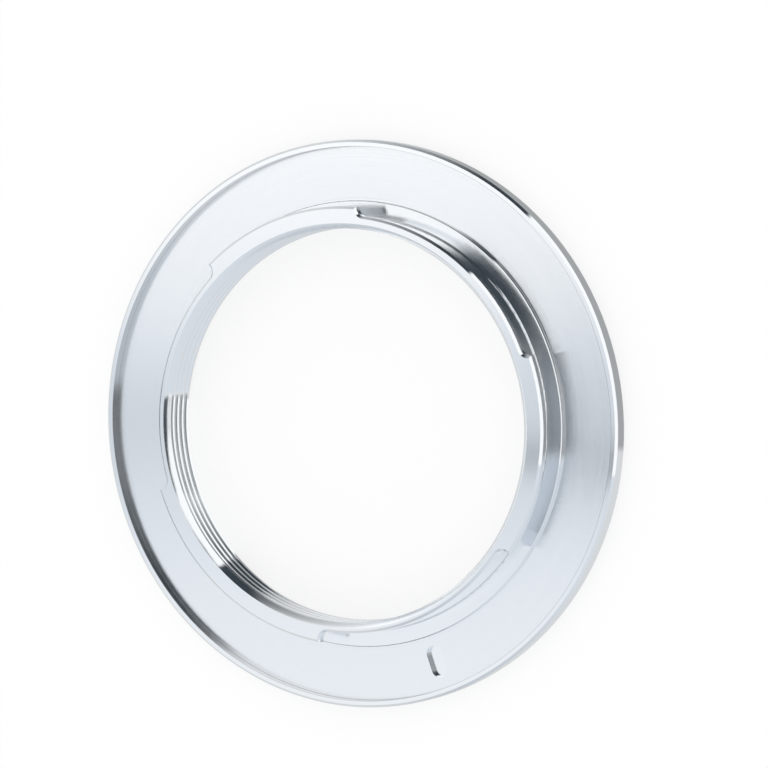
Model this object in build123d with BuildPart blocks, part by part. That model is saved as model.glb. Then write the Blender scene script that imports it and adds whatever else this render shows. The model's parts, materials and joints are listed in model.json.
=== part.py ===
"""A lens mount adapter ring, turned and milled from one piece of metal.

A flat flange with a raised rim carries a short spigot, and on it a collar whose
front end is a three-lug bayonet over an undercut groove. The through bore takes a
screw-in lens from the back, and keeps the crest of the thread's last turn at the
front. Millimetres, Z along the lens axis, the origin on that axis in the plane of
the back face, and the bayonet pointing up.
"""

from build123d import *
import math
import os

# Bore for the lens thread, left at the thread's major diameter but for its last
# turn, which the front countersink cuts down to a narrow crest
thread_diameter = 42.0
thread_depth = 0.54
thread_flank_slope = 30.0
last_crest_width = 0.08
bore_back_chamfer = 0.3

# Bayonet collar: the wall left at the bottom of the undercut groove, and how far
# the ring that the lugs are milled from stands out from there
collar_wall = 0.57
groove_width = 2.66
lug_reach = 1.17
lug_thickness = 0.99
lug_edge_chamfer = 0.25

# Each gap between two lugs: the cutter's first and last angle, in degrees
# anticlockwise from +X, and how far above the groove's bottom it leaves the gap's
gaps = [
    (21.0, 82.15, 0.28),
    (134.45, 194.8, 0.07),
    (264.2, 322.7, -0.08),
]
cutter_diameter = 1.9

# Spigot that centres the ring in the camera's mount, a little larger than the lugs
spigot_past_lugs = 0.53
spigot_rise = 0.54
spigot_edge_break = 0.08

# Flange: the seat round the spigot, and the rim that stands up round its edge
flange_thickness = 0.98
seat_width = 5.62
rim_width = 0.69
rim_rise = 0.99
rim_back_chamfer = 0.2
rim_front_chamfer = 0.25

# Blind radial slot in the seat, for the camera's locking pin
slot_angle = 288.6
slot_from_spigot = 0.98
slot_length = 3.45
slot_width = 1.78
slot_depth = 0.6

# Tool-nose fillets in the turned corners
groove_foot_fillet = 0.13
spigot_foot_fillet = 0.03
rim_foot_fillet = 0.03

# Radii and heights that follow from the sizes above
thread_radius = thread_diameter / 2
crest_radius = thread_radius - thread_depth
groove_radius = thread_radius + collar_wall
lug_radius = groove_radius + lug_reach
spigot_radius = lug_radius + spigot_past_lugs
rim_inner_radius = spigot_radius + seat_width
flange_radius = rim_inner_radius + rim_width
slot_centre_radius = spigot_radius + slot_from_spigot + slot_length / 2
flange_face = flange_thickness
rim_face = flange_face + rim_rise
spigot_face = flange_face + spigot_rise
lug_underside = spigot_face + groove_width
front_face = lug_underside + lug_thickness
last_crest_top = front_face - thread_depth
last_crest_foot = last_crest_top - last_crest_width
last_flank_foot = last_crest_foot - thread_depth * math.tan(math.radians(thread_flank_slope))


def turned_edges(part, radius, height):
    """The full circles of one radius round the axis, at one height."""
    tolerance = 1e-4
    return (
        part.edges()
        .filter_by(GeomType.CIRCLE)
        .filter_by(lambda edge: abs(edge.radius - radius) < tolerance)
        .filter_by(lambda edge: abs(edge.center().Z - height) < tolerance)
    )


with BuildPart() as adapter_ring:
    # Turned blank, as half of its section swept round the axis
    with BuildSketch(Plane.XZ) as section:
        with BuildLine():
            Polyline(
                (thread_radius, 0),
                (flange_radius, 0),
                (flange_radius, rim_face),
                (rim_inner_radius, rim_face),
                (rim_inner_radius, flange_face),
                (spigot_radius, flange_face),
                (spigot_radius, spigot_face),
                (groove_radius, spigot_face),
                (groove_radius, lug_underside),
                (lug_radius, lug_underside),
                (lug_radius, front_face),
                (thread_radius, front_face),
                (crest_radius, last_crest_top),
                (crest_radius, last_crest_foot),
                (thread_radius, last_flank_foot),
                close=True,
            )
        make_face()
    revolve(axis=Axis.Z)

    # Corners and outer edges left by the turning tools
    fillet(turned_edges(adapter_ring, groove_radius, spigot_face), groove_foot_fillet)
    fillet(turned_edges(adapter_ring, spigot_radius, flange_face), spigot_foot_fillet)
    fillet(turned_edges(adapter_ring, rim_inner_radius, flange_face), rim_foot_fillet)
    chamfer(turned_edges(adapter_ring, spigot_radius, spigot_face), spigot_edge_break)
    chamfer(turned_edges(adapter_ring, flange_radius, 0), rim_back_chamfer)
    chamfer(turned_edges(adapter_ring, flange_radius, rim_face), rim_front_chamfer)
    chamfer(turned_edges(adapter_ring, thread_radius, 0), bore_back_chamfer)

    # Gaps between the lugs, one pass of a small end mill each
    with BuildSketch(Plane.XY.offset(lug_underside)) as gap_passes:
        for first_angle, last_angle, floor_rise in gaps:
            path_radius = groove_radius + floor_rise + cutter_diameter / 2
            SlotArc(
                CenterArc((0, 0), path_radius, first_angle, last_angle - first_angle),
                height=cutter_diameter,
            )
    extrude(amount=lug_thickness, mode=Mode.SUBTRACT)

    # One chamfer that follows the whole outline of the front face, lugs and gaps alike
    front = adapter_ring.faces().filter_by(Axis.Z).sort_by(Axis.Z)[-1]
    chamfer(front.outer_wire().edges(), lug_edge_chamfer)

    # Slot for the locking pin
    slot_middle = (
        slot_centre_radius * math.cos(math.radians(slot_angle)),
        slot_centre_radius * math.sin(math.radians(slot_angle)),
    )
    with BuildSketch(Plane.XY.offset(flange_face)) as pin_slot:
        with Locations(slot_middle):
            SlotOverall(slot_length, slot_width, rotation=slot_angle)
    extrude(amount=-slot_depth, mode=Mode.SUBTRACT)

adapter_ring.part.label = "adapter_ring"

os.makedirs("parts", exist_ok=True)
export_step(adapter_ring.part, "parts/adapter_ring.step")
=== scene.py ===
"""A lens mount adapter ring: turned metal finish, lens thread, and a small white studio."""

import json
import math

import bpy
from mathutils import Matrix, Vector


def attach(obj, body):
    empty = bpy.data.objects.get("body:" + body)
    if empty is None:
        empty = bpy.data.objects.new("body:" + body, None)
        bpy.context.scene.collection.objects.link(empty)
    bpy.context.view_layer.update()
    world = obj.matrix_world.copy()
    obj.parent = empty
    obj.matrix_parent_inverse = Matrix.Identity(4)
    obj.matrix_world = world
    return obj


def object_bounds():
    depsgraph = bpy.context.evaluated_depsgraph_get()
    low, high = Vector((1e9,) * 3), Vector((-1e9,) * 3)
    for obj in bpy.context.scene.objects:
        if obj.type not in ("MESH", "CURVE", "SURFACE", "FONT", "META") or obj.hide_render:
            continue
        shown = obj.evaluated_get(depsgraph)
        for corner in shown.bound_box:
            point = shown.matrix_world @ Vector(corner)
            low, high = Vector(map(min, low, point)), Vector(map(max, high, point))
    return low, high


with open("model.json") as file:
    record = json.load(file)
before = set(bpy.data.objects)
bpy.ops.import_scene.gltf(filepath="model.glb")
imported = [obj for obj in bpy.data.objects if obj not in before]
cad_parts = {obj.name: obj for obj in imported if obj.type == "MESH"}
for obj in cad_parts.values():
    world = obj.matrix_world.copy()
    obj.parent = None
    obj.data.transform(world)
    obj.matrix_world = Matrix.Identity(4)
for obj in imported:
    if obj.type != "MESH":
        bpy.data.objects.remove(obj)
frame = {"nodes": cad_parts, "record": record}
CAD_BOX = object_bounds()

bl_info = {
    "name": "Lens Mount Adapter Ring",
    "version": (1, 0, 0),
    "blender": (4, 5, 0),
    "location": "3D View > Sidebar > Adapter",
    "description": "Finishes the turned ring, cuts its lens thread and lights it",
    "category": "Object",
}

MM = 0.001
DEGREE = math.radians(1)
RING_NODE = "adapter_ring"

# Heights and radii of the ring that the finish follows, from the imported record, the
# solid's box and the width of the rim
MOUNTS = {mount["name"]: mount for mount in frame["record"]["mounts"]}
BORE_RADIUS = MOUNTS["lens_thread"]["dims"]["r_mm"] * MM
SPIGOT_RADIUS = MOUNTS["camera_spigot"]["dims"]["r_mm"] * MM
SEAT_HEIGHT = MOUNTS["camera_seat"]["pos_m"][2]
RING_RADIUS = CAD_BOX[1].x
RIM_WIDTH = 0.69 * MM
RIM_INNER_RADIUS = RING_RADIUS - RIM_WIDTH

# Where the seat's finish fades in and out: past the spigot, and below and above its face
SEAT_PAST_SPIGOT = (0.1 * MM, 0.3 * MM)
SEAT_FROM_BELOW = (-0.1 * MM, -0.05 * MM)
SEAT_TO_ABOVE = (0.02 * MM, 0.08 * MM)

# Painted shade on the rim's inner wall: it shows this share of the metal's colour, and
# this is how far to each side of the wall that the painted shade fades out
RIM_WALL_PAINTED_SHADE = 0.7
RIM_WALL_FADE = (0.03 * MM, 0.06 * MM)

# The countersink's outer part is eased over this width and depth
EASED_WIDTH = 0.352 * MM
EASED_DEPTH = 0.044 * MM

# Turned lines spread a reflection across themselves: how much, and the quarter turn.
# The last value is how fast their pattern changes round the ring.
LINE_SPREAD = 1.0
ACROSS_LINES = 0.25
LINE_DRIFT = 2.0

# Radial streaks: how many fit round the ring, how long they are, which part of their
# noise counts, and what they do to the roughness and the colour
STREAKS_PER_TURN = 300.0
STREAK_LENGTH = 3 * MM
STREAK_NOISE = (0.3, 0.7)
STREAK_ROUGHNESS = (0.9, 1.1)
STREAK_COLOUR = 0.985

# The thread: how far its foot stands inside the bore's wall, half the angle between its
# flanks, the steps of a rounded crest edge, and the bend that stays a sharp edge
FOOT = 0.03 * MM
FLANK_SLOPE = 30 * DEGREE
CREST_STEPS = 3
SHARP_BEND = 35 * DEGREE

# Tones of the floor as the metal sees it: plain, painted shadow along the rim's right,
# and inside the bore painted light on the left with painted shadow beside it
FLOOR_TINT = (0.97, 0.99, 1.0, 1.0)
FLOOR_TONE = 0.73
RIM_SIDE_PAINTED_SHADOW = 0.4
RIM_SIDE_ANGLES = ((-6 * DEGREE, -4 * DEGREE), (60 * DEGREE, 88 * DEGREE))
RIM_SIDE_RADII = ((24 * MM, 25 * MM), (31 * MM, 35 * MM))
IN_BORE_EDGE = (21.5 * MM, 22.5 * MM)
BORE_PAINTED_LIGHT = 1.07
WHITE_SIDE_ANGLES = ((-7.2 * DEGREE, -6.4 * DEGREE), (41 * DEGREE, 42.5 * DEGREE))
BORE_PAINTED_SHADOW = 0.356
DARK_SIDE_ANGLES = (WHITE_SIDE_ANGLES[1], (51 * DEGREE, 57 * DEGREE))

# The tent is a box of cloth, with X to the right in the photograph, Y up in it and Z
# from the floor to the ceiling. A place this far out lies on a wall.
TENT_REACH = 300 * MM
ON_WALL = 299 * MM

# Left edge of the tent's dark gap, as where its softness starts and ends. Each line
# tells two places along the edge and how far right it is at each, in millimetres: by
# the place up the photograph on the ceiling, and by the height on the far wall.
CEILING_EDGE_START = (150, 270, -55, -20)
CEILING_EDGE_END = (150, 270, -20, 8)
FAR_WALL_EDGE_START = (120, 270, -240, -20)
FAR_WALL_EDGE_END = (120, 270, 60, 8)

# Right edge of the gap on the far wall, told in the same way, and how soft it is
FAR_WALL_RIGHT_EDGE = (0, 300, 169, 130)
RIGHT_EDGE_WIDTH = 10 * MM

# On the ceiling some light is left in the gap, less of it further up, and the ceiling's
# far right corner is white
GLOW_BAND = ((105 * MM, 185 * MM), (205 * MM, 240 * MM))
GLOW_CHANGE = (20 * MM, 150 * MM)
GLOW_LEVELS = (0.66, 0.3)
CORNER_FROM_LEFT = (185 * MM, 215 * MM)
CORNER_FROM_BELOW = (120 * MM, 150 * MM)

# On the right wall the gap starts at this height, and higher the further up the
# photograph, by this slope and from this place on
RIGHT_WALL_START = (197 * MM, 213 * MM)
RIGHT_WALL_SLOPE = 0.9
RIGHT_WALL_LOWEST = -12 * MM

# The table's edge is this far below the ring's axis in the photograph and falls to the
# right by this slope, and the gap and the white cloth start at these heights over it
TABLE_EDGE = 36 * MM
TABLE_SLOPE = 0.2
GAP_OVER_TABLE = (-2 * MM, 6 * MM)
CLOTH_OVER_TABLE = (-4 * MM, 4 * MM)

# Tones of the cloth: on the left with what is added high up and low down, on the right
# below and above the table's edge, and where the one goes over into the other
LEFT_TONE = 0.665
LEFT_HIGH = (-18 * MM, 26 * MM)
LEFT_HIGH_MORE = 0.34
LEFT_LOW = ((-250 * MM, -120 * MM), (-66 * MM, -20 * MM))
LEFT_LOW_MORE = 0.215
RIGHT_TONES = (0.7, 0.975)
LEFT_TO_RIGHT = (-20 * MM, 60 * MM)

# Shade just above the floor, and in the seam along the table's edge
NEAR_FLOOR = (30 * MM, 110 * MM)
NEAR_FLOOR_SHADE = 0.17
SEAM_OVER_TABLE = ((-14 * MM, -10 * MM), (-7 * MM, -3 * MM))
SEAM_ACROSS = ((-128 * MM, -95 * MM), (20 * MM, 100 * MM))
SEAM_SHADE = 0.72

# The tone that is full white, the share of it at which the cloth is bluest, and the
# colour that it has there
WHITE_TONE = 1.03
BLUISH_AT = 0.7
BLUISH_GREY = (0.66, 0.70, 0.75, 1.0)

# Where the photograph was taken from, in the ring's own frame
CAMERA_PLACE = Vector((218.853, 27.953, 441.886)) * MM
CAMERA_RIGHT = Vector((0.89835, -0.02367, -0.43865))
CAMERA_UP = Vector((0.0, 0.99855, -0.05389))
CAMERA_BACK = Vector((0.43929, 0.04841, 0.89704))
CAMERA_LENS_MM = 221.85
CAMERA_SENSOR_MM = 36.0
CAMERA_CLIP = (0.01, 20.0)


class AdapterMetalSettings(bpy.types.PropertyGroup):
    """Colour and finish of the turned metal"""

    colour: bpy.props.FloatVectorProperty(
        name="Metal colour",
        description="Colour that the bare metal reflects",
        subtype="COLOR",
        size=3,
        default=(0.92, 0.937, 0.954),
        min=0.0,
        max=1.0,
    )
    wall_roughness: bpy.props.FloatProperty(
        name="Wall roughness",
        description="Roughness of the narrow walls and chamfers",
        default=0.09,
        min=0.0,
        max=1.0,
        subtype="FACTOR",
    )
    seat_roughness: bpy.props.FloatProperty(
        name="Seat roughness",
        description="Roughness of the wide turned seat",
        default=0.12,
        min=0.0,
        max=1.0,
        subtype="FACTOR",
    )
    line_pitch: bpy.props.FloatProperty(
        name="Tool line pitch",
        description="Distance between the fine lines that the turning tool leaves",
        default=0.03 * MM,
        min=0.01 * MM,
        unit="LENGTH",
    )
    line_depth: bpy.props.FloatProperty(
        name="Tool line depth",
        description="Depth of the fine turning lines in the seat",
        default=0.005 * MM,
        min=0.0,
        unit="LENGTH",
    )
    wall_lines: bpy.props.FloatProperty(
        name="Lines on walls",
        description="How deep the fine lines are on the narrow walls, as a share of the seat's",
        default=0.3,
        min=0.0,
        max=1.0,
        subtype="FACTOR",
    )


class AdapterThreadSettings(bpy.types.PropertyGroup):
    """Sizes of the lens thread in the bore"""

    pitch: bpy.props.FloatProperty(
        name="Pitch",
        description="Distance from one turn of the thread to the next",
        default=1.0 * MM,
        min=0.2 * MM,
        unit="LENGTH",
    )
    depth: bpy.props.FloatProperty(
        name="Depth",
        description="How far the turns reach in from the bore's wall",
        default=0.54 * MM,
        min=0.05 * MM,
        unit="LENGTH",
    )
    crest_width: bpy.props.FloatProperty(
        name="Crest width",
        description="Width of the flat on the inside of each turn",
        default=0.34 * MM,
        min=0.02 * MM,
        unit="LENGTH",
    )
    crest_round: bpy.props.FloatProperty(
        name="Crest rounding",
        description="Radius of the crest's two edges",
        default=0.09 * MM,
        min=0.0,
        unit="LENGTH",
    )
    start_angle: bpy.props.FloatProperty(
        name="Start angle",
        description="Angle round the axis at which the thread's lower end starts",
        default=48.6 * DEGREE,
        subtype="ANGLE",
    )
    first_height: bpy.props.FloatProperty(
        name="First turn",
        description="Height of the thread's lower end above the back face",
        default=0.5 * MM,
        min=0.0,
        unit="LENGTH",
    )
    turns: bpy.props.FloatProperty(
        name="Turns",
        description="Number of turns, with the stretches that run out into the wall",
        default=3.9,
        min=1.0,
        max=12.0,
    )
    run_out: bpy.props.FloatProperty(
        name="Run-out",
        description="Part of a turn in which the thread sinks into the wall at each end",
        default=0.12,
        min=0.01,
        max=0.5,
    )
    steps_per_turn: bpy.props.IntProperty(
        name="Steps per turn",
        description="Number of straight steps in one turn of the thread",
        default=360,
        min=24,
        max=720,
    )


class AdapterStageSettings(bpy.types.PropertyGroup):
    """Floor, backdrop and light"""

    floor_size: bpy.props.FloatProperty(
        name="Floor size",
        description="Length of the square floor's side",
        default=4.0,
        min=0.5,
        unit="LENGTH",
    )
    floor_colour: bpy.props.FloatVectorProperty(
        name="Floor colour",
        description="Colour of the pale floor",
        subtype="COLOR",
        size=3,
        default=(0.9, 0.9, 0.9),
        min=0.0,
        max=1.0,
    )
    shadow_share: bpy.props.FloatProperty(
        name="Shadow share",
        description="How much of the floor's brightness the ring's shadow may take",
        default=0.3,
        min=0.0,
        max=0.9,
        subtype="FACTOR",
    )
    tent_light: bpy.props.FloatProperty(
        name="Tent light",
        description="Brightness of the white cloth that the metal reflects",
        default=1.115,
        min=0.0,
    )
    gap_colour: bpy.props.FloatVectorProperty(
        name="Gap colour",
        description="Colour of the dark gap that the camera looks through",
        subtype="COLOR",
        size=3,
        default=(0.037, 0.048, 0.058),
        min=0.0,
        max=1.0,
    )


def new_node(tree, kind, **settings):
    """Adds a node and sets its plain attributes."""
    node = tree.nodes.new(kind)
    for name, value in settings.items():
        setattr(node, name, value)
    return node


def link(tree, source, target):
    tree.links.new(source, target)


def fill(tree, target, value):
    """Gives an input a socket to read or a plain value."""
    if isinstance(value, bpy.types.NodeSocket):
        link(tree, value, target)
    else:
        target.default_value = value


def math_node(tree, operation, first, second=None, third=None, clamp=False):
    """A Math node whose inputs are sockets or plain numbers; returns its output."""
    node = new_node(tree, "ShaderNodeMath", operation=operation, use_clamp=clamp)
    for target, value in zip(node.inputs, (first, second, third)):
        if value is not None:
            fill(tree, target, value)
    return node.outputs[0]


def vector_node(tree, x=0.0, y=0.0, z=0.0):
    """A vector from three sockets or plain numbers."""
    node = new_node(tree, "ShaderNodeCombineXYZ")
    for target, value in zip(node.inputs, (x, y, z)):
        fill(tree, target, value)
    return node.outputs[0]


def map_range(tree, value, from_min, from_max, to_min, to_max, kind="LINEAR"):
    """Maps one range of a value to another, and keeps to that range."""
    node = new_node(tree, "ShaderNodeMapRange", interpolation_type=kind)
    link(tree, value, node.inputs["Value"])
    node.inputs["From Min"].default_value = from_min
    node.inputs["From Max"].default_value = from_max
    node.inputs["To Min"].default_value = to_min
    node.inputs["To Max"].default_value = to_max
    return node.outputs["Result"]


def soft_step(tree, value, start, end):
    """0 below start, 1 above end, with a smooth change between them."""
    return map_range(tree, value, start, end, 0.0, 1.0, kind="SMOOTHSTEP")


def one_minus(tree, value):
    return math_node(tree, "SUBTRACT", 1.0, value)


def between(tree, value, start, end):
    """1 between two soft steps, each given as where it starts and ends."""
    rise = soft_step(tree, value, *start)
    return math_node(tree, "MULTIPLY", rise, one_minus(tree, soft_step(tree, value, *end)))


def blend(tree, factor, first, second):
    """Mixes two values, each a socket or a plain number."""
    node = new_node(tree, "ShaderNodeMix", data_type="FLOAT")
    link(tree, factor, node.inputs["Factor"])
    fill(tree, node.inputs["A"], first)
    fill(tree, node.inputs["B"], second)
    return node.outputs["Result"]


def blend_colours(tree, factor, first, second):
    """Mixes two colours, each a socket or four plain numbers."""
    node = new_node(tree, "ShaderNodeMix", data_type="RGBA")
    link(tree, factor, node.inputs["Factor"])
    fill(tree, node.inputs["A"], first)
    fill(tree, node.inputs["B"], second)
    return node.outputs["Result"]


def noise(tree, vector, detail, roughness=0.5):
    """A 3-D noise of scale 1 on a vector; returns its value."""
    node = new_node(tree, "ShaderNodeTexNoise", noise_dimensions="3D")
    link(tree, vector, node.inputs["Vector"])
    node.inputs["Scale"].default_value = 1.0
    node.inputs["Detail"].default_value = detail
    node.inputs["Roughness"].default_value = roughness
    return node.outputs["Fac"]


def object_place(tree):
    """The place on the object, as three sockets."""
    split = new_node(tree, "ShaderNodeSeparateXYZ")
    link(tree, new_node(tree, "ShaderNodeTexCoord").outputs["Object"], split.inputs[0])
    return split.outputs


def from_axis(tree, x, y):
    """Distance from the Z axis."""
    squares = [math_node(tree, "POWER", part, 2.0) for part in (x, y)]
    return math_node(tree, "SQRT", math_node(tree, "ADD", *squares))


def shader_group(name, outputs):
    """A new shader node group that puts out the named values, and its output node."""
    group = bpy.data.node_groups.new(name, "ShaderNodeTree")
    for output in outputs:
        group.interface.new_socket(output, in_out="OUTPUT", socket_type="NodeSocketFloat")
    return group, new_node(group, "NodeGroupOutput")


def turned_grain_group():
    """Node group for the marks of a turning tool round the Z axis.

    It puts out the height of the fine lines and a mask of soft radial streaks.
    """
    name = "Turned grain"
    if name in bpy.data.node_groups:
        return bpy.data.node_groups[name]
    group, outputs = shader_group(name, ("Height", "Streaks"))
    group.interface.new_socket("Line Pitch", in_out="INPUT", socket_type="NodeSocketFloat")
    pitch = new_node(group, "NodeGroupInput").outputs["Line Pitch"]
    x, y, z = object_place(group)
    radius = from_axis(group, x, y)
    cosine = math_node(group, "DIVIDE", x, radius)
    sine = math_node(group, "DIVIDE", y, radius)

    # Lines: noise that changes fast with radius and height and slowly round the axis
    per_line = math_node(group, "DIVIDE", 1.0, pitch)
    lines = vector_node(
        group,
        math_node(group, "MULTIPLY", radius, per_line),
        math_node(group, "MULTIPLY", z, per_line),
        math_node(group, "MULTIPLY", cosine, LINE_DRIFT),
    )
    link(group, noise(group, lines, detail=3.0), outputs.inputs["Height"])

    # Streaks: noise that changes fast round the axis and slowly along the radius
    per_ray = STREAKS_PER_TURN / (2 * math.pi)
    rays = vector_node(
        group,
        math_node(group, "MULTIPLY", cosine, per_ray),
        math_node(group, "MULTIPLY", sine, per_ray),
        math_node(group, "DIVIDE", radius, STREAK_LENGTH),
    )
    link(group, noise(group, rays, detail=4.0, roughness=0.65), outputs.inputs["Streaks"])
    return group


def turned_faces_group():
    """Node group with a mask of the flange's wide seat and one of the rim's inner wall, where
    shade is painted.

    It also puts out the height by which the bore's countersink is eased towards the face.
    """
    name = "Turned faces"
    if name in bpy.data.node_groups:
        return bpy.data.node_groups[name]
    group, outputs = shader_group(name, ("Seat", "Rim Wall", "Easing"))
    x, y, z = object_place(group)
    radius = from_axis(group, x, y)

    outside = soft_step(group, radius, *[SPIGOT_RADIUS + past for past in SEAT_PAST_SPIGOT])
    level = between(
        group, z,
        [SEAT_HEIGHT + rise for rise in SEAT_FROM_BELOW],
        [SEAT_HEIGHT + rise for rise in SEAT_TO_ABOVE],
    )
    link(group, math_node(group, "MULTIPLY", outside, level), outputs.inputs["Seat"])

    near, far = RIM_WALL_FADE
    wall = between(
        group, radius,
        (RIM_INNER_RADIUS - far, RIM_INNER_RADIUS - near),
        (RIM_INNER_RADIUS + near, RIM_INNER_RADIUS + far),
    )
    link(group, wall, outputs.inputs["Rim Wall"])

    into_face = math_node(group, "SUBTRACT", radius, BORE_RADIUS - EASED_WIDTH)
    share = math_node(group, "DIVIDE", into_face, EASED_WIDTH, clamp=True)
    eased = math_node(group, "MULTIPLY", math_node(group, "POWER", share, 2.0), -EASED_DEPTH)
    link(group, eased, outputs.inputs["Easing"])
    return group


def group_node(tree, group):
    return new_node(tree, "ShaderNodeGroup", node_tree=group)


def new_material(name):
    """An empty node material, its tree and the input that takes its surface."""
    material = bpy.data.materials.new(name)
    material.use_nodes = True
    tree = material.node_tree
    tree.nodes.clear()
    return material, tree, new_node(tree, "ShaderNodeOutputMaterial").inputs["Surface"]


def turned_metal(name, settings, seat=True):
    """Bright turned metal: smooth walls, a satin seat, fine lines round the axis."""
    material, tree, surface = new_material(name)
    shader = new_node(tree, "ShaderNodeBsdfPrincipled")
    link(tree, shader.outputs[0], surface)
    shader.inputs["Metallic"].default_value = 1.0
    shader.inputs["Anisotropic"].default_value = LINE_SPREAD
    shader.inputs["Anisotropic Rotation"].default_value = ACROSS_LINES
    around = new_node(tree, "ShaderNodeTangent", direction_type="RADIAL", axis="Z")
    link(tree, around.outputs[0], shader.inputs["Tangent"])

    grain = group_node(tree, turned_grain_group())
    grain.inputs["Line Pitch"].default_value = settings.line_pitch
    roughness = settings.wall_roughness
    lines = settings.wall_lines
    colour = blend_colours(
        tree, grain.outputs["Streaks"],
        (*[STREAK_COLOUR * part for part in settings.colour], 1.0),
        (*settings.colour, 1.0),
    )
    bump = new_node(tree, "ShaderNodeBump")

    # The ring also has a rougher seat with deeper lines, painted shade on the rim's inner wall
    # and an eased edge
    if seat:
        faces = group_node(tree, turned_faces_group())
        in_seat = faces.outputs["Seat"]
        roughness = map_range(tree, in_seat, 0.0, 1.0, roughness, settings.seat_roughness)
        lines = map_range(tree, in_seat, 0.0, 1.0, lines, 1.0)
        # Painted shade: the rim's inner wall is darkened to this share of the metal's colour
        painted_wall_shade = (*[RIM_WALL_PAINTED_SHADE * part for part in settings.colour], 1.0)
        colour = blend_colours(tree, faces.outputs["Rim Wall"], colour, painted_wall_shade)
        easing = new_node(tree, "ShaderNodeBump")
        easing.inputs["Distance"].default_value = 1.0
        link(tree, faces.outputs["Easing"], easing.inputs["Height"])
        link(tree, easing.outputs["Normal"], bump.inputs["Normal"])

    bump.inputs["Distance"].default_value = settings.line_depth
    height = math_node(tree, "MULTIPLY", grain.outputs["Height"], lines)
    link(tree, height, bump.inputs["Height"])
    link(tree, bump.outputs["Normal"], shader.inputs["Normal"])
    uneven = map_range(tree, grain.outputs["Streaks"], *STREAK_NOISE, *STREAK_ROUGHNESS)
    link(tree, math_node(tree, "MULTIPLY", uneven, roughness), shader.inputs["Roughness"])
    link(tree, colour, shader.inputs["Base Color"])
    return material


class ADAPTER_OT_ring_finish(bpy.types.Operator):
    """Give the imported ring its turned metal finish"""

    bl_idname = "adapter.ring_finish"
    bl_label = "Finish the ring"

    def execute(self, context):
        ring = frame["nodes"][RING_NODE]
        metal = turned_metal("turned metal", context.scene.adapter_metal)
        ring.data.materials.clear()
        ring.data.materials.append(metal)
        return {"FINISHED"}


def thread_path(tree, given):
    """A right-hand helix at the wall, whose ends run out almost wholly into it."""
    helix = new_node(tree, "GeometryNodeCurveSpiral")
    link(tree, given["Steps per Turn"], helix.inputs["Resolution"])
    link(tree, given["Turns"], helix.inputs["Rotations"])
    link(tree, given["Bore Radius"], helix.inputs["Start Radius"])
    link(tree, given["Bore Radius"], helix.inputs["End Radius"])
    rise = math_node(tree, "MULTIPLY", given["Turns"], given["Pitch"])
    link(tree, rise, helix.inputs["Height"])
    helix.inputs["Reverse"].default_value = True
    started = new_node(tree, "GeometryNodeTransform")
    link(tree, helix.outputs["Curve"], started.inputs["Geometry"])
    link(tree, vector_node(tree, z=given["Start Angle"]), started.inputs["Rotation"])

    # How far out each place sinks, as a share of the bore's radius
    along = new_node(tree, "GeometryNodeSplineParameter").outputs["Factor"]
    turns_from_start = math_node(tree, "MULTIPLY", along, given["Turns"])
    turns_to_end = math_node(tree, "SUBTRACT", given["Turns"], turns_from_start)
    nearest = math_node(tree, "MINIMUM", turns_from_start, turns_to_end)
    share = math_node(tree, "DIVIDE", nearest, given["Run-out"], clamp=True)
    full_sink = math_node(tree, "SUBTRACT", given["Depth"], FOOT)
    sink = math_node(tree, "MULTIPLY", one_minus(tree, share), full_sink)
    sink = math_node(tree, "DIVIDE", sink, given["Bore Radius"])

    # The sinking acts along the radius only, and the path is lifted to its height
    outwards = new_node(tree, "ShaderNodeVectorMath", operation="SCALE")
    link(tree, new_node(tree, "GeometryNodeInputPosition").outputs[0], outwards.inputs[0])
    link(tree, sink, outwards.inputs["Scale"])
    level = new_node(tree, "ShaderNodeVectorMath", operation="MULTIPLY")
    link(tree, outwards.outputs[0], level.inputs[0])
    level.inputs[1].default_value = (1.0, 1.0, 0.0)
    shift = new_node(tree, "ShaderNodeVectorMath", operation="ADD")
    link(tree, level.outputs[0], shift.inputs[0])
    link(tree, vector_node(tree, z=given["First Height"]), shift.inputs[1])
    moved = new_node(tree, "GeometryNodeSetPosition")
    link(tree, started.outputs[0], moved.inputs["Geometry"])
    link(tree, shift.outputs[0], moved.inputs["Offset"])
    upright = new_node(tree, "GeometryNodeSetCurveNormal", mode="Z_UP")
    link(tree, moved.outputs[0], upright.inputs[0])
    return upright.outputs[0]


def thread_section(tree, given):
    """The ridge's section: sloping flanks, eased crest edges, its foot inside the wall."""
    height = math_node(tree, "ADD", given["Depth"], FOOT)
    flanks = math_node(tree, "MULTIPLY", height, 2 * math.tan(FLANK_SLOPE))
    foot_width = math_node(tree, "ADD", given["Crest Width"], flanks)
    section = new_node(tree, "GeometryNodeCurvePrimitiveQuadrilateral", mode="TRAPEZOID")
    link(tree, foot_width, section.inputs["Bottom Width"])
    link(tree, given["Crest Width"], section.inputs["Top Width"])
    link(tree, height, section.inputs["Height"])
    section.inputs["Offset"].default_value = 0.0

    across = new_node(tree, "ShaderNodeSeparateXYZ")
    link(tree, new_node(tree, "GeometryNodeInputPosition").outputs[0], across.inputs[0])
    at_crest = math_node(tree, "GREATER_THAN", across.outputs["Y"], 0.0)
    rounding = math_node(tree, "MULTIPLY", at_crest, given["Crest Rounding"])
    eased = new_node(tree, "GeometryNodeFilletCurve", mode="POLY")
    link(tree, section.outputs[0], eased.inputs["Curve"])
    eased.inputs["Count"].default_value = CREST_STEPS
    link(tree, rounding, eased.inputs["Radius"])

    # Turned so that the crest points inwards, with the foot at its depth in the wall
    turned = new_node(tree, "GeometryNodeTransform")
    link(tree, eased.outputs[0], turned.inputs["Geometry"])
    turned.inputs["Rotation"].default_value = (0.0, 0.0, 90 * DEGREE)
    middle = math_node(tree, "MULTIPLY", math_node(tree, "SUBTRACT", given["Depth"], FOOT), -0.5)
    link(tree, vector_node(tree, x=middle), turned.inputs["Translation"])
    return turned.outputs[0]


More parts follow.
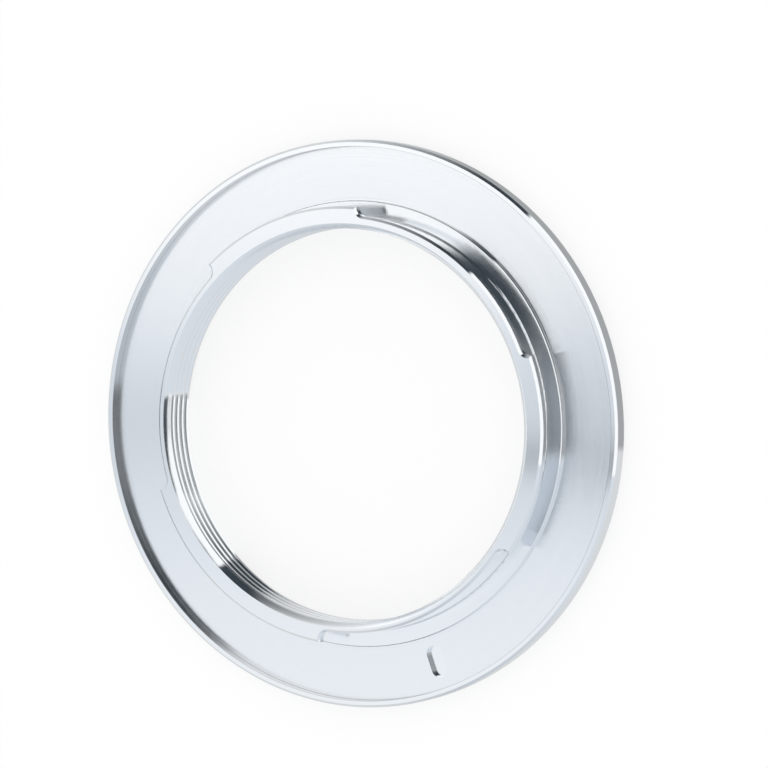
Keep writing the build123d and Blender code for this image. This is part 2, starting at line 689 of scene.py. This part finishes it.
def thread_tree(settings, metal):
    """Geometry Nodes tree: one helical ridge of the thread's section, inside the bore.

    Returns the tree and the value of each of its inputs, by the input's identifier.
    """
    tree = bpy.data.node_groups.new("Bore thread", "GeometryNodeTree")
    tree.interface.new_socket("Geometry", in_out="OUTPUT", socket_type="NodeSocketGeometry")
    inputs = (
        ("Bore Radius", "Float", BORE_RADIUS),
        ("Pitch", "Float", settings.pitch),
        ("Depth", "Float", settings.depth),
        ("Crest Width", "Float", settings.crest_width),
        ("Crest Rounding", "Float", settings.crest_round),
        ("Start Angle", "Float", settings.start_angle),
        ("First Height", "Float", settings.first_height),
        ("Turns", "Float", settings.turns),
        ("Run-out", "Float", settings.run_out),
        ("Steps per Turn", "Int", settings.steps_per_turn),
        ("Metal", "Material", metal),
    )
    values = {}
    for name, kind, value in inputs:
        socket = tree.interface.new_socket(name, in_out="INPUT", socket_type="NodeSocket" + kind)
        values[socket.identifier] = value
    given = new_node(tree, "NodeGroupInput").outputs

    ridge = new_node(tree, "GeometryNodeCurveToMesh")
    link(tree, thread_path(tree, given), ridge.inputs["Curve"])
    link(tree, thread_section(tree, given), ridge.inputs["Profile Curve"])
    ridge.inputs["Fill Caps"].default_value = True

    # Smooth faces, but for the edges that bend more than the rounded ones
    smooth = new_node(tree, "GeometryNodeSetShadeSmooth", domain="FACE")
    link(tree, ridge.outputs[0], smooth.inputs["Geometry"])
    bend = new_node(tree, "GeometryNodeInputMeshEdgeAngle").outputs["Unsigned Angle"]
    creased = new_node(tree, "GeometryNodeSetShadeSmooth", domain="EDGE")
    link(tree, smooth.outputs[0], creased.inputs["Geometry"])
    link(tree, math_node(tree, "GREATER_THAN", bend, SHARP_BEND), creased.inputs["Selection"])
    creased.inputs["Shade Smooth"].default_value = False

    real = new_node(tree, "GeometryNodeRealizeInstances")
    link(tree, creased.outputs[0], real.inputs[0])
    coat = new_node(tree, "GeometryNodeSetMaterial")
    link(tree, real.outputs[0], coat.inputs["Geometry"])
    link(tree, given["Metal"], coat.inputs["Material"])
    link(tree, coat.outputs[0], new_node(tree, "NodeGroupOutput").inputs["Geometry"])
    return tree, values


def plain_mesh_from_tree(context, name, tree, values):
    """Runs a Geometry Nodes tree on a new object and leaves its result as a plain mesh."""
    piece = bpy.data.objects.new(name, bpy.data.meshes.new(name))
    context.scene.collection.objects.link(piece)
    modifier = piece.modifiers.new(tree.name, "NODES")
    modifier.node_group = tree
    for key, value in values.items():
        modifier[key] = value
    context.view_layer.update()
    depsgraph = context.evaluated_depsgraph_get()
    result = bpy.data.meshes.new_from_object(piece.evaluated_get(depsgraph))
    piece.modifiers.remove(modifier)
    piece.data = result
    result.name = name
    return piece


class ADAPTER_OT_thread(bpy.types.Operator):
    """Cut the lens thread into the bore"""

    bl_idname = "adapter.thread"
    bl_label = "Cut the thread"

    def execute(self, context):
        metal = turned_metal("thread metal", context.scene.adapter_metal, seat=False)
        tree, values = thread_tree(context.scene.adapter_thread, metal)
        thread = plain_mesh_from_tree(context, "bore_thread", tree, values)
        if not thread.data.polygons:
            raise RuntimeError("the thread came out empty")
        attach(thread, "root")
        return {"FINISHED"}


def floor_tone_with_painted_shade(tree):
    """How bright the metal sees the floor from place to place, with painted shadow along the
    rim's right and painted light and shadow inside the bore.
    """
    x, y, _ = object_place(tree)
    radius = from_axis(tree, x, y)
    from_right = math_node(tree, "ARCTAN2", y, x)
    turned_back = [math_node(tree, "MULTIPLY", part, -1.0) for part in (y, x)]
    from_left = math_node(tree, "ARCTAN2", *turned_back)

    # Painted shadow on the floor along the rim's right, which the metal reflects
    rim_shadow_mask = math_node(
        tree, "MULTIPLY",
        between(tree, from_right, *RIM_SIDE_ANGLES),
        between(tree, radius, *RIM_SIDE_RADII),
    )
    in_bore = one_minus(tree, soft_step(tree, radius, *IN_BORE_EDGE))
    tone = blend(tree, rim_shadow_mask, FLOOR_TONE, RIM_SIDE_PAINTED_SHADOW)
    # Inside the bore: painted light on the left, then painted shadow beside it
    for angles, painted_tone in (
        (WHITE_SIDE_ANGLES, BORE_PAINTED_LIGHT),
        (DARK_SIDE_ANGLES, BORE_PAINTED_SHADOW),
    ):
        side = math_node(tree, "MULTIPLY", in_bore, between(tree, from_left, *angles))
        tone = blend(tree, side, tone, painted_tone)
    return tone


def mix_shaders(tree, factor, first, second):
    mix = new_node(tree, "ShaderNodeMixShader")
    link(tree, factor, mix.inputs["Fac"])
    link(tree, first.outputs[0], mix.inputs[1])
    link(tree, second.outputs[0], mix.inputs[2])
    return mix


def floor_material(settings):
    """White floor that shows the camera only a share of the ring's shadow.

    The metal sees it greyer, with painted shadow along the rim's right and in the bore, and
    painted light on the bore's left.
    """
    material, tree, surface = new_material("studio floor")
    diffuse = new_node(tree, "ShaderNodeBsdfDiffuse")
    diffuse.inputs["Color"].default_value = (*settings.floor_colour, 1.0)
    share = settings.shadow_share
    white = new_node(tree, "ShaderNodeEmission")
    white_level = (1.0 - share * settings.floor_colour[0]) / (1.0 - share)
    white.inputs["Strength"].default_value = white_level
    # The metal's reflections see the floor grey, with its painted shadow and painted light
    grey = new_node(tree, "ShaderNodeEmission")
    grey.inputs["Color"].default_value = FLOOR_TINT
    link(tree, floor_tone_with_painted_shade(tree), grey.inputs["Strength"])

    path = new_node(tree, "ShaderNodeLightPath").outputs
    seen = math_node(tree, "MULTIPLY", path["Is Camera Ray"], 1.0 - share)
    pale = mix_shaders(tree, seen, diffuse, white)
    shown = mix_shaders(tree, path["Is Glossy Ray"], pale, grey)
    link(tree, shown.outputs[0], surface)
    material.cycles.emission_sampling = "NONE"
    return material


def studio_world():
    """Plain white light from all sides."""
    world = bpy.data.worlds.new("studio")
    world.use_nodes = True
    background = world.node_tree.nodes["Background"]
    background.inputs["Color"].default_value = (1.0, 1.0, 1.0, 1.0)
    background.inputs["Strength"].default_value = 1.0
    return world


def tent_gap(tree, x, y, z, above):
    """Mask of the dark gap that the camera looks through.

    It lies across the ceiling, and goes on down the far wall and the top of the right one.
    """
    on_far_wall = math_node(tree, "GREATER_THAN", y, ON_WALL)
    on_right_wall = math_node(tree, "GREATER_THAN", x, ON_WALL)

    def along(value, edge):
        return map_range(tree, value, *[number * MM for number in edge])

    # Left edge: sharp at the ceiling's far end, and ever softer down the far wall
    start = blend(tree, on_far_wall, along(y, CEILING_EDGE_START), along(z, FAR_WALL_EDGE_START))
    end = blend(tree, on_far_wall, along(y, CEILING_EDGE_END), along(z, FAR_WALL_EDGE_END))
    width = math_node(tree, "SUBTRACT", end, start)
    left = math_node(tree, "DIVIDE", math_node(tree, "SUBTRACT", x, start), width, clamp=True)

    # Light again further right on the far wall, past a sharp edge
    past = math_node(tree, "SUBTRACT", x, along(z, FAR_WALL_RIGHT_EDGE))
    past = math_node(tree, "DIVIDE", past, RIGHT_EDGE_WIDTH)
    past = math_node(tree, "ADD", past, 0.5, clamp=True)

    # Some light in the middle of the ceiling's part, and more in its far right corner
    glow_level = blend(tree, soft_step(tree, y, *GLOW_CHANGE), *GLOW_LEVELS)
    glow = math_node(tree, "MULTIPLY", between(tree, x, *GLOW_BAND), glow_level)
    corner = math_node(
        tree, "MULTIPLY",
        soft_step(tree, x, *CORNER_FROM_LEFT),
        soft_step(tree, y, *CORNER_FROM_BELOW),
    )
    light = blend(tree, on_far_wall, math_node(tree, "MAXIMUM", glow, corner), past)

    # Light again low down on the right wall
    up_the_wall = math_node(tree, "MAXIMUM", y, RIGHT_WALL_LOWEST)
    start_rise = math_node(tree, "MULTIPLY", up_the_wall, RIGHT_WALL_SLOPE)
    height = math_node(tree, "SUBTRACT", z, start_rise)
    light_below = one_minus(tree, soft_step(tree, height, *RIGHT_WALL_START))
    light = blend(tree, on_right_wall, light, light_below)

    gap = math_node(tree, "MULTIPLY", left, one_minus(tree, light))
    return math_node(tree, "MULTIPLY", gap, soft_step(tree, above, *GAP_OVER_TABLE))


def cloth_tone(tree, x, y, z, above):
    """How light the tent's cloth and the table are from place to place."""
    # Left: grey near the table's edge, white high up, paler again low down in front
    high = math_node(tree, "MULTIPLY", soft_step(tree, y, *LEFT_HIGH), LEFT_HIGH_MORE)
    low = math_node(tree, "MULTIPLY", between(tree, y, *LEFT_LOW), LEFT_LOW_MORE)
    left_tone = math_node(tree, "ADD", math_node(tree, "ADD", high, low), LEFT_TONE)

    # Right: white above the table's edge, grey below it
    right_tone = blend(tree, soft_step(tree, above, *CLOTH_OVER_TABLE), *RIGHT_TONES)
    tone = blend(tree, soft_step(tree, x, *LEFT_TO_RIGHT), left_tone, right_tone)

    # All is greyer just above the floor, and a dark seam lies along the table's edge
    near_floor = one_minus(tree, soft_step(tree, z, *NEAR_FLOOR))
    seam = math_node(
        tree, "MULTIPLY", between(tree, above, *SEAM_OVER_TABLE), between(tree, x, *SEAM_ACROSS),
    )
    shade = math_node(
        tree, "MAXIMUM",
        math_node(tree, "MULTIPLY", near_floor, NEAR_FLOOR_SHADE),
        math_node(tree, "MULTIPLY", seam, SEAM_SHADE),
    )
    return math_node(tree, "MULTIPLY", tone, one_minus(tree, shade))


def tent_material(settings):
    """White cloth of a light tent over a greyer table, with the camera's dark gap."""
    material, tree, surface = new_material("tent cloth")
    glow = new_node(tree, "ShaderNodeEmission")
    glow.inputs["Strength"].default_value = settings.tent_light
    link(tree, glow.outputs[0], surface)
    x, y, z = object_place(tree)

    # Height above the table's edge
    above = math_node(tree, "MULTIPLY_ADD", x, TABLE_SLOPE, math_node(tree, "ADD", y, TABLE_EDGE))

    # Grey parts are a little bluer than white ones
    cloth = new_node(tree, "ShaderNodeValToRGB")
    tone = cloth_tone(tree, x, y, z, above)
    link(tree, math_node(tree, "MULTIPLY", tone, 1.0 / WHITE_TONE), cloth.inputs["Fac"])
    ramp = cloth.color_ramp
    ramp.elements[0].color = (0.0, 0.0, 0.0, 1.0)
    ramp.elements[1].color = (1.0, 1.0, 1.0, 1.0)
    ramp.elements.new(BLUISH_AT).color = BLUISH_GREY
    gap = tent_gap(tree, x, y, z, above)
    colour = blend_colours(tree, gap, cloth.outputs["Color"], (*settings.gap_colour, 1.0))
    link(tree, colour, glow.inputs["Color"])
    material.cycles.emission_sampling = "NONE"
    return material


def stage_mesh(context, name, corners, faces, material):
    """Adds a plain mesh that belongs to the stage."""
    mesh = bpy.data.meshes.new(name)
    mesh.from_pydata(corners, [], faces)
    mesh.materials.append(material)
    piece = bpy.data.objects.new(name, mesh)
    context.scene.collection.objects.link(piece)
    return piece


def studio_floor(context, settings):
    """The wide white floor that the ring lies on."""
    half = settings.floor_size / 2
    corners = [(-half, -half, 0), (half, -half, 0), (half, half, 0), (-half, half, 0)]
    stage_mesh(context, "studio_floor", corners, [(0, 1, 2, 3)], floor_material(settings))


def light_tent(context, settings):
    """The cloth box round the ring, which only the metal's reflections see."""
    sides = (-TENT_REACH, TENT_REACH)
    corners = [(x, y, z) for z in (0.0, TENT_REACH) for y in sides for x in sides]
    walls = [(0, 1, 5, 4), (1, 3, 7, 5), (3, 2, 6, 7), (2, 0, 4, 6), (4, 5, 7, 6)]
    tent = stage_mesh(context, "light_tent", corners, walls, tent_material(settings))
    for ray in ("camera", "diffuse", "shadow", "transmission", "volume_scatter"):
        setattr(tent, "visible_" + ray, False)


def add_camera(context):
    """The camera of the photograph."""
    data = bpy.data.cameras.new("camera")
    data.lens = CAMERA_LENS_MM
    data.sensor_width = CAMERA_SENSOR_MM
    data.clip_start, data.clip_end = CAMERA_CLIP
    camera = bpy.data.objects.new("camera", data)
    turn = Matrix((CAMERA_RIGHT, CAMERA_UP, CAMERA_BACK)).transposed()
    camera.matrix_world = Matrix.Translation(CAMERA_PLACE) @ turn.to_4x4()
    context.scene.collection.objects.link(camera)
    context.scene.camera = camera


class ADAPTER_OT_stage(bpy.types.Operator):
    """Add the floor, the studio light and the camera"""

    bl_idname = "adapter.stage"
    bl_label = "Set the stage"

    def execute(self, context):
        settings = context.scene.adapter_stage
        studio_floor(context, settings)
        light_tent(context, settings)
        add_camera(context)
        context.scene.world = studio_world()
        context.scene.view_settings.view_transform = "Standard"
        return {"FINISHED"}


class ADAPTER_PT_panel(bpy.types.Panel):
    """Buttons and sizes of the adapter ring"""

    bl_idname = "ADAPTER_PT_panel"
    bl_label = "Lens Mount Adapter"
    bl_space_type = "VIEW_3D"
    bl_region_type = "UI"
    bl_category = "Adapter"

    def draw(self, context):
        layout = self.layout
        for settings in SETTINGS:
            group = getattr(context.scene, settings)
            box = layout.box()
            for name in group.__annotations__:
                box.prop(group, name)
        for operator in OPERATORS:
            layout.operator(operator.bl_idname)


SETTINGS = {
    "adapter_metal": AdapterMetalSettings,
    "adapter_thread": AdapterThreadSettings,
    "adapter_stage": AdapterStageSettings,
}
OPERATORS = (ADAPTER_OT_ring_finish, ADAPTER_OT_thread, ADAPTER_OT_stage)
CLASSES = (*SETTINGS.values(), *OPERATORS, ADAPTER_PT_panel)


def register():
    for cls in CLASSES:
        bpy.utils.register_class(cls)
    for name, group in SETTINGS.items():
        setattr(bpy.types.Scene, name, bpy.props.PointerProperty(type=group))


def unregister():
    for name in SETTINGS:
        delattr(bpy.types.Scene, name)
    for cls in reversed(CLASSES):
        bpy.utils.unregister_class(cls)


def main():
    register()
    bpy.ops.adapter.ring_finish()
    bpy.ops.adapter.thread()
    bpy.ops.adapter.stage()


if __name__ == "__main__":
    main()
